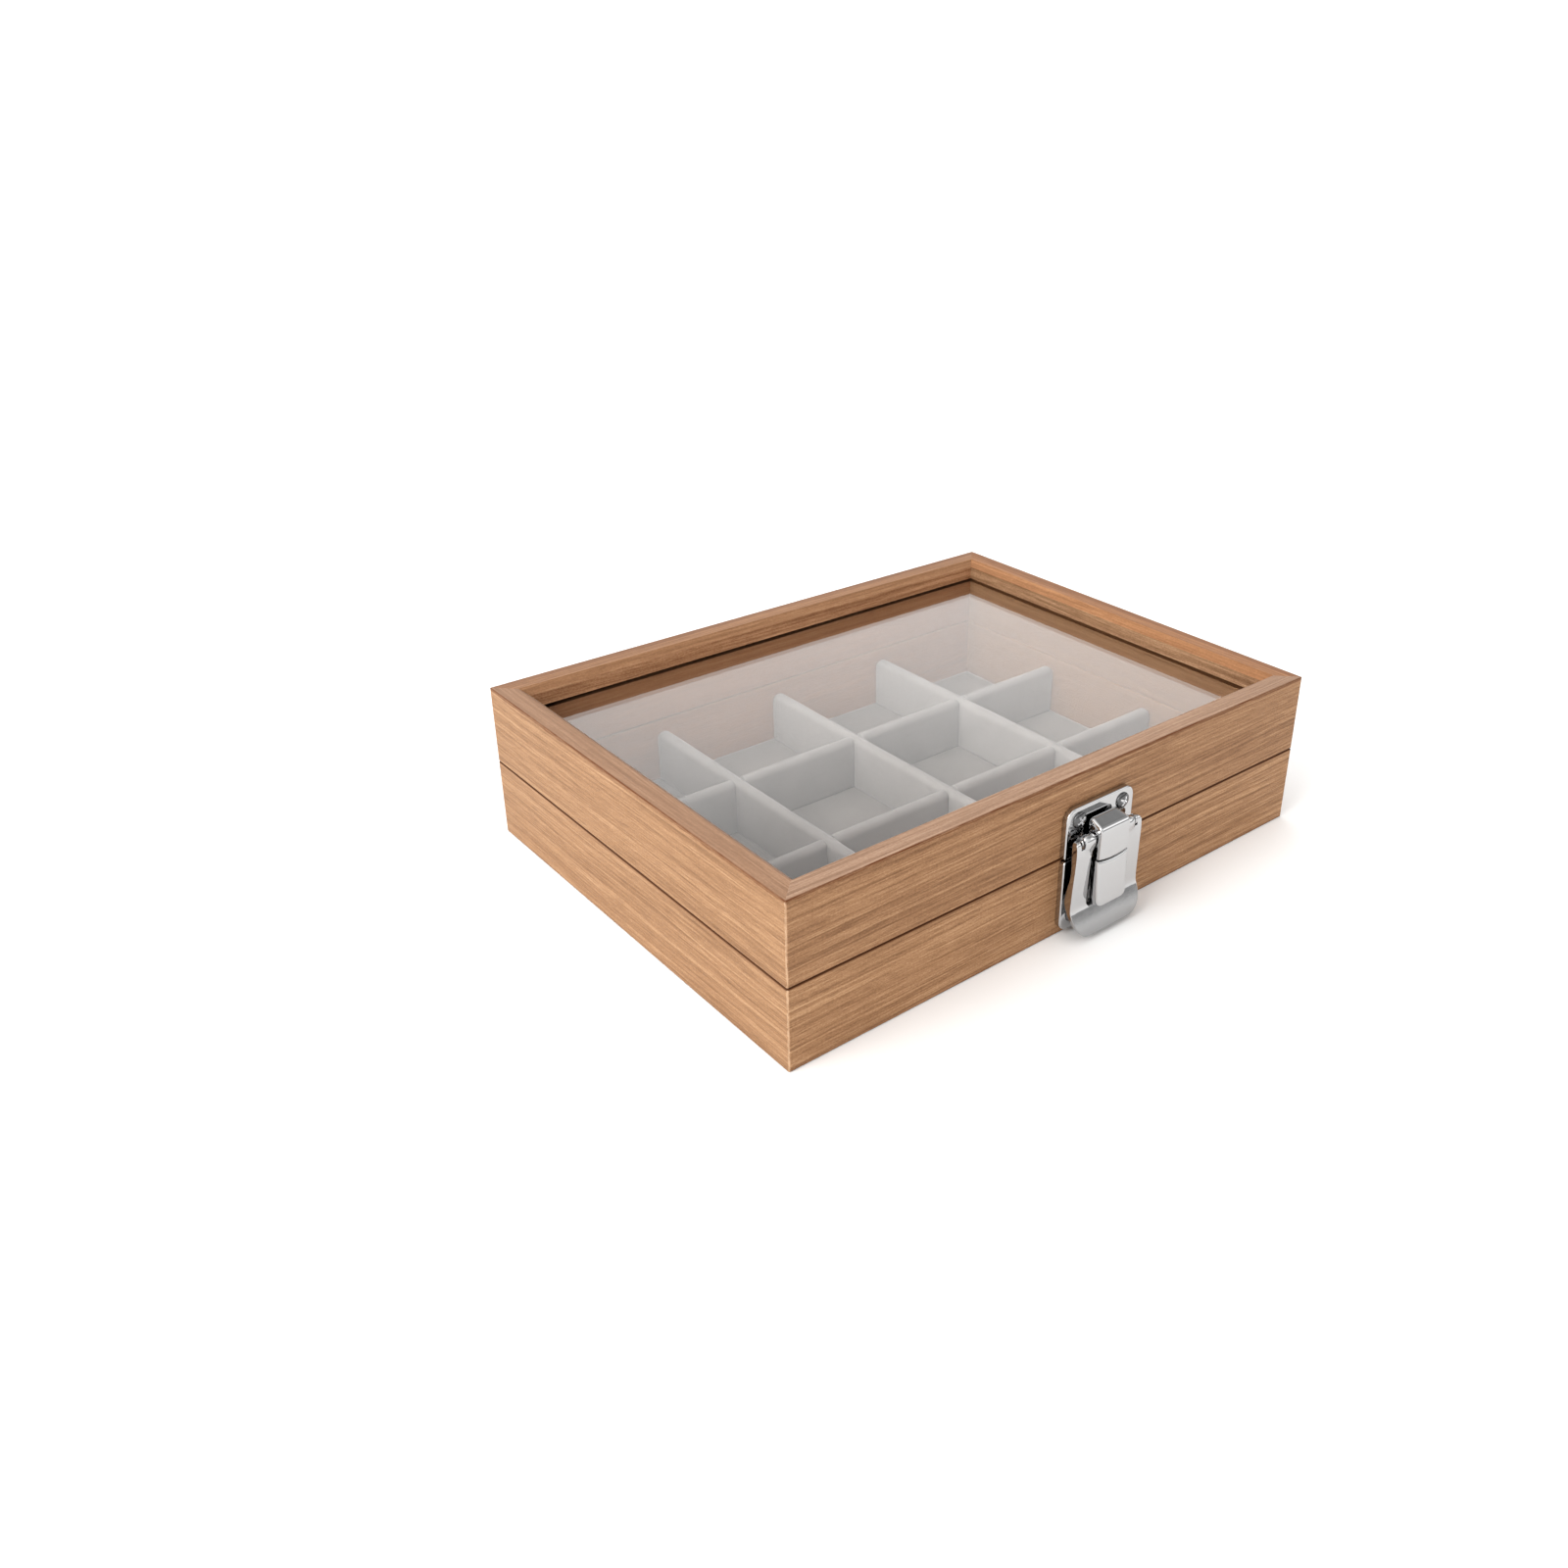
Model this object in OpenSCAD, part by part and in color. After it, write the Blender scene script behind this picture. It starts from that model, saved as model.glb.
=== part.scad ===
// Jewelry organizer box: a shallow wood-veneered case with a hinged glass lid,
// a velvet tray of twelve compartments and a chrome flap clasp.
// Frame: +Z up, front towards -Y, origin at the middle of the underside of the box.
// All sizes in millimetres.

/* [Box] */
// Outer width, left to right
box_w = 200; // [180:5:240]
// Outer depth, front to back, without clasp and hinges
box_d = 150; // [140:5:200]
// Outer height with the lid shut
box_h = 50; // [48:1:60]
// Height at which the lid parts from the base
split_z = 25; // [25:0.5:27]
// Thickness of the rails
wall = 8.8; // [8.4:0.2:10]
// Radius of the upright outer corners
corner_r = 0.7; // [0.4:0.1:1.5]
// Radius of the long outer edges
edge_r = 0.45; // [0.2:0.05:0.8]
// Gap between the two halves when shut
shut_gap = 0.2; // [0.1:0.05:0.4]

/* [Lid] */
// Flat width of the top rim before its inner bevel
rim_flat = 6.4; // [5:0.1:8]
// How far the inner bevel of the rim drops
rim_drop = 2; // [1:0.1:3]
// Thickness of the glass pane
glass_t = 2; // [1.5:0.1:2.5]
// Height of the underside of the glass
glass_z = 41; // [38:0.5:42]
// Depth of the groove that holds the glass
groove_d = 3; // [2:0.1:4]
// Free height left above the glass in its groove
groove_play = 0.6; // [0.3:0.1:1]

/* [Base] */
// Thickness of the bottom panel
panel_t = 3; // [2:0.5:4]
// Width of the rebate that takes the bottom panel
rebate_w = 4; // [3:0.5:5]
// Thickness of the velvet floor mat
mat_t = 1; // [0.6:0.1:1.5]

/* [Tray] */
// Number of compartments, left to right
cells_x = 4; // [4]
// Number of compartments, front to back
cells_y = 3; // [3]
// Thickness of a divider
div_t = 4; // [3:0.2:5]
// Height of the divider tops
div_top = 21.5; // [18:0.5:23]

/* [Hinges] */
// Distance of each hinge from the middle of the box
hinge_x = 58; // [40:1:70]
// Length of each hinge
hinge_w = 24; // [20:1:30]
// Outer radius of the hinge barrel
barrel_r = 1.9; // [1.7:0.1:2]
// Radius of the hinge pin
hinge_pin_r = 0.8; // [0.6:0.1:0.9]
// Thickness of a hinge leaf
leaf_t = 0.8; // [0.6:0.1:0.9]

/* [Clasp] */
// Distance of the clasp to the right of the middle
clasp_x = 6.5; // [-20:0.5:20]
// Width of the clasp plates
plate_w = 27; // [26.8:0.2:30]
// Thickness of the clasp plates
plate_t = 2; // [1.8:0.1:2.2]
// Half width of the hinge block and of the tongue
block_hw = 6; // [5.5:0.1:6.2]
// How far the hinge block stands out from the box
block_out = 8; // [7.5:0.1:8.5]
// Radius of the clasp axle
axle_r = 0.8; // [0.7:0.1:0.9]
// Distance of the clasp axle from the face of the box
axle_out = 4.9; // [4.8:0.1:5.1]

/* [Hidden] */
$fn = 48;

wood = "burlywood";
velvet = "lightgray";
chrome = "silver";

base_top = split_z - shut_gap / 2;
lid_bot = split_z + shut_gap / 2;
groove_top = glass_z + glass_t + groove_play;
in_x = box_w / 2 - wall;
in_y = box_d / 2 - wall;
floor_z = panel_t + mat_t;
cell_w = (2 * in_x - (cells_x - 1) * div_t) / cells_x;
cell_d = (2 * in_y - (cells_y - 1) * div_t) / cells_y;
div_x = [for (i = [1 : cells_x - 1]) -in_x + i * cell_w + (i - 0.5) * div_t];
div_y = [for (i = [1 : cells_y - 1]) -in_y + i * cell_d + (i - 0.5) * div_t];
div_fit = 0.1;
lap_z = (floor_z + div_top) / 2;

// hinge axis
hax_y = box_d / 2 + barrel_r + 0.3;
leaf_in = box_d / 2 - 6;
leaf_screw_y = box_d / 2 - 3;
leaf_screw_dx = 7.5;
knuckle_hw = 4;

// clasp, in its own frame: x to the right, out = distance from the box, z as in the box
axle_z = split_z + 6.4;
plate_top = split_z + 15.7;
plate_bot = split_z - 23.3;
plate_gap = 0.3;
lid_screw_dx = 8.7;
lid_screw_z = split_z + 11.8;
base_screw_dx = 8.8;
base_screw_z = split_z - 18.5;
screw_r = 1;
pilot_r = 1.05;
smile_r = 24;
block_bot = split_z - 0.25;
block_top = split_z + 11.6;
block_back = 3.1;
smile_gap = 0.7;
tongue_bot = split_z - 15;
tongue_in = 5.4;
arm_in = block_hw + 1.2;
knuckle_in = block_hw + 0.3;
knuckle_out = 10.1;
knuckle_r = 1.9;

// points on an arc, from angle a0 to a1 in n steps
function arc(cx, cy, r, a0, a1, n = 4) =
  [for (i = [0 : n]) let (a = a0 + (a1 - a0) * i / n) [cx + r * cos(a), cy + r * sin(a)]];
// the same outline mirrored to the other side of the middle line
function both(p) = concat(p, [for (i = [len(p) - 1 : -1 : 0]) [-p[i][0], p[i][1]]]);

// ---------- boards ----------

// A mitred board along X with its outer face at y = 0; the children are its
// section, drawn with x = distance in from the outer face and y = height.
module board(length) {
  h = length / 2;
  intersection() {
    rotate([90, 0, 90]) translate([0, 0, -h]) linear_extrude(length) children();
    translate([0, 0, -1]) linear_extrude(box_h + 2)
      polygon(concat(
        arc(-h + corner_r, corner_r, corner_r, 225, 270),
        arc(h - corner_r, corner_r, corner_r, 270, 315),
        [[h - wall, wall], [-h + wall, wall]]));
  }
}

module base_section() {
  r = edge_r;
  polygon(concat(
    arc(r, r, r, 270, 180),
    arc(r, base_top - r, r, 180, 90),
    arc(wall - r, base_top - r, r, 90, 0),
    [[wall, panel_t], [wall - rebate_w, panel_t], [wall - rebate_w, 0]]));
}

module lid_section() {
  r = edge_r;
  polygon(concat(
    arc(r, lid_bot + r, r, 270, 180),
    arc(r, box_h - r, r, 180, 90),
    [[rim_flat, box_h], [wall, box_h - rim_drop],
     [wall, groove_top], [wall - groove_d, groove_top],
     [wall - groove_d, glass_z], [wall, glass_z]],
    arc(wall - r, lid_bot + r, r, 0, -90)));
}

module at_front() { translate([0, -box_d / 2, 0]) children(); }
module at_back() { translate([0, box_d / 2, 0]) rotate([0, 0, 180]) children(); }
module at_left() { translate([-box_w / 2, 0, 0]) rotate([0, 0, -90]) children(); }
module at_right() { translate([box_w / 2, 0, 0]) rotate([0, 0, 90]) children(); }

// ---------- hinges ----------

module at_hinges() { for (s = [-1, 1]) translate([s * hinge_x, 0, 0]) children(); }
module at_leaf_screws() { for (s = [-1, 1]) translate([s * leaf_screw_dx, leaf_screw_y, 0]) children(); }

// pocket for one leaf, cut up or down from the parting face (dir = 1 up, -1 down)
module leaf_pocket(dir) {
  z0 = dir > 0 ? lid_bot - 1 : base_top - leaf_t - 0.05;
  translate([-hinge_w / 2 - 0.1, leaf_in - 0.1, z0]) cube([hinge_w + 0.2, 10, leaf_t + 1.05]);
}

// one leaf: the plate, the screw holes and its knuckles round the axis
module leaf(dir) {
  z0 = dir > 0 ? lid_bot : base_top - leaf_t;
  spans = dir > 0
    ? [[-hinge_w / 2, -knuckle_hw - 0.15], [knuckle_hw + 0.15, hinge_w / 2]]
    : [[-knuckle_hw, knuckle_hw]];
  bore_r = dir > 0 ? hinge_pin_r + 0.05 : hinge_pin_r + 0.02;
  difference() {
    union() {
      translate([-hinge_w / 2, leaf_in, z0]) cube([hinge_w, box_d / 2 - leaf_in, leaf_t]);
      for (s = spans) {
        translate([s[0], box_d / 2 - 0.5, z0]) cube([s[1] - s[0], hax_y - box_d / 2 + 0.5, leaf_t]);
        translate([s[0], hax_y, split_z]) rotate([0, 90, 0]) cylinder(h = s[1] - s[0], r = barrel_r);
      }
    }
    translate([-hinge_w, hax_y, split_z]) rotate([0, 90, 0]) cylinder(h = 2 * hinge_w, r = bore_r);
    at_leaf_screws() {
      translate([0, 0, z0 - 1]) cylinder(h = leaf_t + 2, r = pilot_r + 0.1);
      translate([0, 0, dir > 0 ? lid_bot - 1 : base_top - 0.5]) cylinder(h = 1.5, r = 1.8);
    }
  }
}

module hinge_pin() {
  translate([-hinge_w / 2 + 0.1, hax_y, split_z]) rotate([0, 90, 0]) cylinder(h = hinge_w - 0.2, r = hinge_pin_r);
}

// countersunk screw with a cross slot; the head is flush with z = 0 and the shank runs down
module leaf_screw() {
  difference() {
    union() {
      translate([0, 0, -0.45]) cylinder(h = 0.45, r = 1.7);
      translate([0, 0, -8]) cylinder(h = 8, r = screw_r);
    }
    for (a = [0, 90]) rotate([0, 0, a]) translate([-1, -0.2, -0.3]) cube([2, 0.4, 1]);
  }
}

module leaf_pilots() { at_leaf_screws() cylinder(h = 17, r = pilot_r, center = true); }

// ---------- clasp ----------

module at_clasp() { translate([clasp_x, -box_d / 2, 0]) children(); }
// a drawing of x against height, made h thick and pushed out from the box by o
module face_on(o, h) { translate([0, -o, 0]) rotate([90, 0, 0]) linear_extrude(h) children(); }
// a drawing of distance from the box against height, made w wide
module side_on(w) { translate([w / 2, 0, 0]) rotate([90, 0, -90]) linear_extrude(w) children(); }
module along_out(o, h, r) { translate([0, -o, 0]) rotate([90, 0, 0]) cylinder(h = h, r = r); }

// outline of a plate from z0 to z1 with its own corner radii, drawn in by n
module plate_outline(z0, z1, rb, rt, n) {
  polygon(both(concat(
    arc(plate_w / 2 - n - rb, z0 + n + rb, rb, -90, 0, 6),
    arc(plate_w / 2 - n - rt, z1 - n - rt, rt, 0, 90, 6))));
}

module plate(z0, z1, rb, rt) {
  hull() {
    face_on(0, plate_t - 0.4) plate_outline(z0, z1, rb, rt, 0);
    face_on(0, plate_t - 0.12) plate_outline(z0, z1, rb, rt, 0.12);
    face_on(0, plate_t) plate_outline(z0, z1, rb, rt, 0.4);
  }
}

// cross-slot screw with a domed head that sits on the clasp plate
module clasp_screw() {
  head_r = 2.5;
  difference() {
    union() {
      along_out(-7, 7 + plate_t + 0.1, screw_r);
      intersection() {
        along_out(plate_t, 1.05, head_r);
        translate([0, -plate_t + 3.49, 0]) sphere(r = 4.54);
      }
    }
    for (a = [45, 135]) rotate([0, a, 0]) translate([-1.5, -plate_t - 2, -0.3]) cube([3, 1.6, 0.6]);
  }
}

module at_lid_screws() { for (s = [-1, 1]) translate([s * lid_screw_dx, 0, lid_screw_z]) children(); }
module at_base_screws() { for (s = [-1, 1]) translate([s * base_screw_dx, 0, base_screw_z]) children(); }
module clasp_pilot() { along_out(-7.2, 8, pilot_r); }

module block_shape() {
  difference() {
    union() {
      intersection() {
        side_on(2 * block_hw)
          polygon(concat([[block_back, block_bot], [block_back, block_top - 0.5]],
            arc(block_back + 0.5, block_top - 0.5, 0.5, 180, 79),
            arc(block_out - 1.1, block_top - 1.75, 1.1, 79, 0, 5),
            arc(block_out - 0.6, block_bot + 0.6, 0.6, 0, -90)));
        face_on(0, 12) intersection() {
          polygon([[-block_hw, block_bot - 1], [block_hw, block_bot - 1],
            [block_hw - 0.25, block_top + 1], [-block_hw + 0.25, block_top + 1]]);
          translate([0, block_bot + smile_r]) circle(r = smile_r, $fn = 120);
        }
        linear_extrude(box_h) polygon([[-block_hw + 0.9, -block_back], [block_hw - 0.9, -block_back],
          [block_hw, -axle_out - 1.5], [block_hw, -block_out - 1], [-block_hw, -block_out - 1], [-block_hw, -axle_out - 1.5]]);
      }
      translate([-4, -block_back - 0.2, axle_z - 3.5]) cube([8, block_back + 0.2 - plate_t, 6]);
    }
    translate([-10, -axle_out, axle_z]) rotate([0, 90, 0]) cylinder(h = 20, r = axle_r + 0.02);
  }
}

// front outline of the U frame, half of it, from the bottom middle to the inner edge
function flap_half() = concat(
  [[0, split_z - 23.3]],
  [for (i = [0 : 8]) let (a = -90 + 90 * i / 8) [7.4 + 6.4 * cos(a), split_z - 15.6 + 7.7 * sin(a)]],
  [[13.6, split_z - 12.5], [13.5, split_z - 8], [13.3, split_z - 1], [13.2, split_z + 4]],
  arc(12, split_z + 6.1, 1.2, 0, 90, 5),
  [[11.5, split_z + 7.2], [11.5, split_z + 4.9], [knuckle_out, split_z + 4.7], [knuckle_out, axle_z],
    [knuckle_in, axle_z], [knuckle_in, split_z + 4.6], [knuckle_in + 0.3, split_z + 3.6],
    [arm_in, split_z + 2.6], [arm_in, split_z - 13.5]],
  arc(arm_in - 1.5, split_z - 13.5, 1.5, 0, -90, 3));

module flap_outline() { polygon(both(flap_half())); }

module flap_side() {
  s = split_z;
  polygon([
    [5, s + 7.4], [5.7, s + 6.9], [6.1, s + 6], [6.25, s + 3], [6, s - 5], [5.75, s - 11], [5.7, s - 14],
    [5.95, s - 15], [6.9, s - 17], [7.75, s - 19], [8.4, s - 21], [8.6, s - 22.6], [8.5, s - 23.6],
    [7.6, s - 23.6], [7.15, s - 22], [6.45, s - 20], [5.6, s - 18], [4.65, s - 16], [3.6, s - 14],
    [3, s - 12], [3.3, s - 9], [4.1, s - 5], [4.4, s - 2], [4.3, s], [4, s + 3], [3.9, s + 7.4]]);
}

module flap_shape() {
  difference() {
    union() {
      intersection() {
        side_on(30) flap_side();
        face_on(0, 12) flap_outline();
      }
      for (s = [-1, 1])
        translate([s > 0 ? knuckle_in : -knuckle_out, -axle_out, axle_z])
          rotate([0, 90, 0]) cylinder(h = knuckle_out - knuckle_in, r = knuckle_r);
    }
    translate([-11.1, -axle_out, axle_z]) rotate([0, 90, 0]) cylinder(h = 22.2, r = axle_r + 0.05);
  }
}

module tongue_shape() {
  union() {
    difference() {
      side_on(2 * block_hw + 0.4)
        polygon([[tongue_in, split_z + 1], [block_out - 0.1, split_z + 1],
          [block_out + 0.7, tongue_bot + 0.7], [block_out + 0.4, tongue_bot + 0.1], [tongue_in, tongue_bot]]);
      face_on(0, 12) translate([0, block_bot + smile_r]) circle(r = smile_r + smile_gap, $fn = 120);
    }
    side_on(9) polygon([[3.9, tongue_bot], [3.9, tongue_bot + 4.4], [4.4, tongue_bot + 5],
      [tongue_in + 0.1, tongue_bot + 5], [tongue_in + 0.1, tongue_bot]]);
  }
}

// ---------- nodes ----------

module base_front_rail() color(wood) difference() {
  at_front() board(box_w) base_section();
  at_clasp() at_base_screws() clasp_pilot();
}
module base_back_rail() color(wood) difference() {
  at_back() board(box_w) base_section();
  at_hinges() { leaf_pocket(-1); translate([0, 0, base_top]) leaf_pilots(); }
}
module base_left_rail() color(wood) at_left() board(box_d) base_section();
module base_right_rail() color(wood) at_right() board(box_d) base_section();
module base_bottom_panel() color("tan")
  translate([0, 0, panel_t / 2])
    cube([2 * (in_x + rebate_w) - 0.2, 2 * (in_y + rebate_w) - 0.2, panel_t], center = true);
module floor_mat() color(velvet)
  translate([0, 0, panel_t + mat_t / 2]) cube([2 * in_x - 0.2, 2 * in_y - 0.2, mat_t], center = true);

// section of a divider: straight sides and a fully rounded top
module divider_section() {
  r = div_t / 2;
  polygon(concat([[-r, floor_z], [r, floor_z]], arc(0, div_top - r, r, 0, 180, 12)));
}
// runs front to back, slotted from below
module divider_y(x) color(velvet) difference() {
  translate([x, in_y - 0.15, 0]) rotate([90, 0, 0]) linear_extrude(2 * in_y - 0.3) divider_section();
  for (y = div_y)
    translate([x - div_t, y - div_t / 2 - div_fit / 2, floor_z - 1])
      cube([2 * div_t, div_t + div_fit, lap_z - floor_z + 1]);
}
// runs left to right, slotted from above
module divider_x(y) color(velvet) difference() {
  translate([-in_x + 0.15, y, 0]) rotate([90, 0, 90]) linear_extrude(2 * in_x - 0.3) divider_section();
  for (x = div_x)
    translate([x - div_t / 2 - div_fit / 2, y - div_t, lap_z + 0.1])
      cube([div_t + div_fit, 2 * div_t, div_top]);
}
module divider_left() divider_y(div_x[0]);
module divider_centre() divider_y(div_x[1]);
module divider_right() divider_y(div_x[2]);
module divider_front() divider_x(div_y[0]);
module divider_back() divider_x(div_y[1]);

module lid_front_rail() color(wood) difference() {
  at_front() board(box_w) lid_section();
  at_clasp() at_lid_screws() clasp_pilot();
}
module lid_back_rail() color(wood) difference() {
  at_back() board(box_w) lid_section();
  at_hinges() { leaf_pocket(1); translate([0, 0, lid_bot]) leaf_pilots(); }
}
module lid_left_rail() color(wood) at_left() board(box_d) lid_section();
module lid_right_rail() color(wood) at_right() board(box_d) lid_section();
module glass_pane() color("lightcyan", 0.4)
  translate([0, 0, glass_z + glass_t / 2])
    cube([2 * (in_x + groove_d) - 0.6, 2 * (in_y + groove_d) - 0.6, glass_t], center = true);

module left_hinge_base_leaf() color(chrome) translate([-hinge_x, 0, 0]) leaf(-1);
module right_hinge_base_leaf() color(chrome) translate([hinge_x, 0, 0]) leaf(-1);
module left_hinge_lid_leaf() color(chrome) translate([-hinge_x, 0, 0]) leaf(1);
module right_hinge_lid_leaf() color(chrome) translate([hinge_x, 0, 0]) leaf(1);
module left_hinge_pin() color(chrome) translate([-hinge_x, 0, 0]) hinge_pin();
module right_hinge_pin() color(chrome) translate([hinge_x, 0, 0]) hinge_pin();
module hinge_base_screws() color(chrome)
  at_hinges() at_leaf_screws() translate([0, 0, base_top]) leaf_screw();
module hinge_lid_screws() color(chrome)
  at_hinges() at_leaf_screws() translate([0, 0, lid_bot]) mirror([0, 0, 1]) leaf_screw();

module clasp_lid_plate() color(chrome) at_clasp() difference() {
  plate(split_z + plate_gap, plate_top, 0.8, 3.5);
  at_lid_screws() along_out(-1, 5, screw_r + 0.1);
}
module clasp_base_plate() color(chrome) at_clasp() difference() {
  plate(plate_bot, split_z - plate_gap, 3.5, 0.8);
  at_base_screws() along_out(-1, 5, screw_r + 0.1);
}
module clasp_lid_screws() color(chrome) at_clasp() at_lid_screws() clasp_screw();
module clasp_base_screws() color(chrome) at_clasp() at_base_screws() clasp_screw();
module clasp_catch() color(chrome) at_clasp() side_on(7)
  polygon([[plate_t, split_z - 9.2], [3.2, split_z - 9.2], [3.2, split_z - 8], [plate_t, split_z - 4]]);
module clasp_hinge_block() color(chrome) at_clasp() block_shape();
module clasp_axle() color(chrome) at_clasp()
  translate([-knuckle_out, -axle_out, axle_z]) rotate([0, 90, 0]) cylinder(h = 2 * knuckle_out, r = axle_r);
module clasp_flap() color(chrome) at_clasp() flap_shape();
module clasp_tongue() color(chrome) at_clasp() tongue_shape();

base_front_rail();
base_back_rail();
base_left_rail();
base_right_rail();
base_bottom_panel();
floor_mat();
divider_left();
divider_centre();
divider_right();
divider_front();
divider_back();
lid_front_rail();
lid_back_rail();
lid_left_rail();
lid_right_rail();
glass_pane();
left_hinge_base_leaf();
right_hinge_base_leaf();
left_hinge_lid_leaf();
right_hinge_lid_leaf();
left_hinge_pin();
right_hinge_pin();
hinge_base_screws();
hinge_lid_screws();
clasp_lid_plate();
clasp_hinge_block();
clasp_axle();
clasp_lid_screws();
clasp_base_plate();
clasp_catch();
clasp_base_screws();
clasp_flap();
clasp_tongue();
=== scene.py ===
"""Looks of the jewelry organizer box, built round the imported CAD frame. Lengths are in metres."""

import math

import bmesh
import bpy
import numpy as np
from mathutils import Matrix, Vector, noise


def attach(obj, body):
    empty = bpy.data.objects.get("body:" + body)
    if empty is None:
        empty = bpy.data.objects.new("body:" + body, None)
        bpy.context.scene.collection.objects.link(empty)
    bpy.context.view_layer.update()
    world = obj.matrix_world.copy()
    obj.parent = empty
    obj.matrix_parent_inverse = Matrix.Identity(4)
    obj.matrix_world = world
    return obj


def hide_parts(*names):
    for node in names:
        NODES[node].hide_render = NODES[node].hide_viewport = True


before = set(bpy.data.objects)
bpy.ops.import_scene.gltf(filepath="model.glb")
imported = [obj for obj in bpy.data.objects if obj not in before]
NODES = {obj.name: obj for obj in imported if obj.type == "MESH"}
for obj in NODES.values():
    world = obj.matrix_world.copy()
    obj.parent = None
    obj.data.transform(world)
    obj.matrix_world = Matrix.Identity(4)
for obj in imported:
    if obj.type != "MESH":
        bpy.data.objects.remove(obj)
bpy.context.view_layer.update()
MM = 0.001


# ---------------------------------------------------------------- node helpers

class Tree:
    """A short way to write a shader tree."""

    def __init__(self, tree):
        self.t = tree
        self.x = 0

    def new(self, kind, **kw):
        n = self.t.nodes.new(kind)
        self.x += 40
        n.location = (self.x, 0)
        for k, v in kw.items():
            setattr(n, k, v)
        return n

    def link(self, a, b):
        self.t.links.new(a, b)

    def put(self, socket, value):
        if isinstance(value, bpy.types.NodeSocket):
            self.link(value, socket)
        elif value is not None:
            socket.default_value = value

    def math(self, op, a, b=None, c=None, clamp=False):
        n = self.new("ShaderNodeMath", operation=op, use_clamp=clamp)
        for s, v in zip(n.inputs, (a, b, c)):
            self.put(s, v)
        return n.outputs[0]

    def vmath(self, op, a, b=None, scale=None):
        n = self.new("ShaderNodeVectorMath", operation=op)
        self.put(n.inputs[0], a)
        if b is not None:
            self.put(n.inputs[1], b)
        if scale is not None:
            self.put(n.inputs["Scale"], scale)
        return n.outputs["Value"] if op in ("DOT_PRODUCT", "LENGTH") else n.outputs["Vector"]

    def mapping(self, v, loc=(0, 0, 0), rot=(0, 0, 0), scale=(1, 1, 1)):
        n = self.new("ShaderNodeMapping")
        self.put(n.inputs["Vector"], v)
        n.inputs["Location"].default_value = loc
        n.inputs["Rotation"].default_value = rot
        n.inputs["Scale"].default_value = scale
        return n.outputs[0]

    def noise(self, v, scale=1.0, detail=2.0, rough=0.5, dist=0.0, colour=False):
        n = self.new("ShaderNodeTexNoise")
        self.put(n.inputs["Vector"], v)
        n.inputs["Scale"].default_value = scale
        n.inputs["Detail"].default_value = detail
        n.inputs["Roughness"].default_value = rough
        n.inputs["Distortion"].default_value = dist
        return n.outputs["Color" if colour else "Fac"]

    def range(self, v, a, b, c=0.0, d=1.0, smooth=False):
        n = self.new("ShaderNodeMapRange", interpolation_type="SMOOTHSTEP" if smooth else "LINEAR", clamp=True)
        self.put(n.inputs["Value"], v)
        for name, x in (("From Min", a), ("From Max", b), ("To Min", c), ("To Max", d)):
            n.inputs[name].default_value = x
        return n.outputs["Result"]

    def ramp(self, v, stops, mode="LINEAR"):
        n = self.new("ShaderNodeValToRGB")
        n.color_ramp.interpolation = mode
        e = n.color_ramp.elements
        while len(e) < len(stops):
            e.new(0.5)
        for el, (p, c) in zip(e, stops):
            el.position = p
            el.color = (*c, 1) if len(c) == 3 else c
        self.put(n.inputs["Fac"], v)
        return n.outputs["Color"]

    def mix(self, fac, a, b, mode="MIX"):
        n = self.new("ShaderNodeMix", data_type="RGBA", blend_type=mode)
        self.put(n.inputs[0], fac)
        self.put(n.inputs[6], a if isinstance(a, bpy.types.NodeSocket) else (*a, 1))
        self.put(n.inputs[7], b if isinstance(b, bpy.types.NodeSocket) else (*b, 1))
        return n.outputs[2]

    def xyz(self, v):
        n = self.new("ShaderNodeSeparateXYZ")
        self.put(n.inputs[0], v)
        return n.outputs

    def bump(self, height, strength, distance, normal=None):
        n = self.new("ShaderNodeBump")
        n.inputs["Strength"].default_value = strength
        n.inputs["Distance"].default_value = distance
        self.put(n.inputs["Height"], height)
        if normal is not None:
            self.put(n.inputs["Normal"], normal)
        return n.outputs[0]


def material(name):
    m = bpy.data.materials.new(name)
    m.use_nodes = True
    t = Tree(m.node_tree)
    bsdf = m.node_tree.nodes["Principled BSDF"]
    return m, t, bsdf


def coords(t, kind="Object"):
    return t.new("ShaderNodeTexCoord").outputs[kind]


# ---------------------------------------------------------------- materials

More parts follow.
